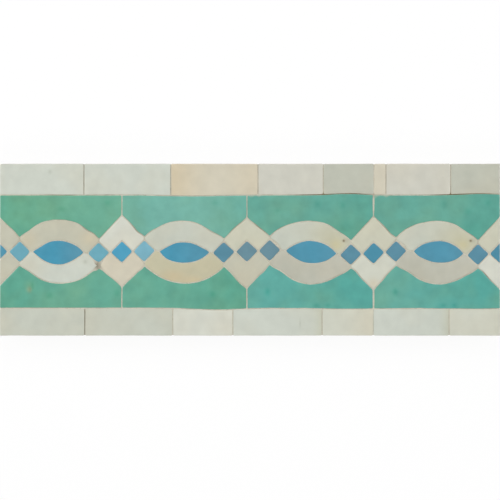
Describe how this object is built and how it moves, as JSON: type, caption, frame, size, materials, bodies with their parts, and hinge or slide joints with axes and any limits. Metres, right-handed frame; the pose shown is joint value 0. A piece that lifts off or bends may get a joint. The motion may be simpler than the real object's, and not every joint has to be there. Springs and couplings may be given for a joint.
{
  "type": "mosaic pool tile",
  "caption": "Flat border panel of hand-cut glazed clay mosaic in a mortar bed: lenses, bands, diamonds and ground pieces between plain listels, for a pool's waterline.",
  "frame": {"origin": "centre of the flat underside of the mortar bed", "axes": "+X along the panel, +Y across it toward the wider listels, +Z out of the glazed face"},
  "size_m": [0.404, 0.139, 0.02],
  "materials": {
    "white_glaze": "gloss",
    "green_glaze": "gloss",
    "blue_glaze": "gloss",
    "mortar": "sandy matt"
  },
  "bodies": {
    "root": {"band_lower_1": "white_glaze", "band_lower_2": "white_glaze", "band_lower_3": "white_glaze", "band_lower_4": "white_glaze", "band_upper_1": "white_glaze", "band_upper_2": "white_glaze", "band_upper_3": "white_glaze", "band_upper_4": "white_glaze", "chevron_lower_1": "white_glaze", "chevron_lower_2": "white_glaze", "chevron_lower_3": "white_glaze", "chevron_lower_4": "white_glaze", "chevron_lower_5": "white_glaze", "chevron_upper_1": "white_glaze", "chevron_upper_2": "white_glaze", "chevron_upper_3": "white_glaze", "chevron_upper_4": "white_glaze", "chevron_upper_5": "white_glaze", "field_lower_1": "green_glaze", "field_lower_2": "green_glaze", "field_lower_3": "green_glaze", "field_lower_4": "green_glaze", "field_upper_1": "green_glaze", "field_upper_2": "green_glaze", "field_upper_3": "green_glaze", "field_upper_4": "green_glaze", "lens_1": "blue_glaze", "lens_2": "blue_glaze", "lens_3": "blue_glaze", "lens_4": "blue_glaze", "listel_lower_1": "white_glaze", "listel_lower_2": "white_glaze", "listel_lower_3": "white_glaze", "listel_lower_4": "white_glaze", "listel_lower_5": "white_glaze", "listel_lower_6": "white_glaze", "listel_lower_7": "white_glaze", "listel_upper_1": "white_glaze", "listel_upper_2": "white_glaze", "listel_upper_3": "white_glaze", "listel_upper_4": "white_glaze", "listel_upper_5": "white_glaze", "listel_upper_6": "white_glaze", "listel_upper_7": "white_glaze", "listel_upper_8": "white_glaze", "mortar_bed": "mortar", "square_centre_1": "blue_glaze", "square_centre_2": "blue_glaze", "square_centre_3": "blue_glaze", "square_centre_4": "blue_glaze", "square_centre_5": "blue_glaze", "square_left_1": "blue_glaze", "square_left_2": "blue_glaze", "square_left_3": "blue_glaze", "square_left_4": "blue_glaze", "square_right_1": "blue_glaze", "square_right_2": "blue_glaze", "square_right_3": "blue_glaze", "square_right_4": "blue_glaze"}
  },
  "joints": []
}
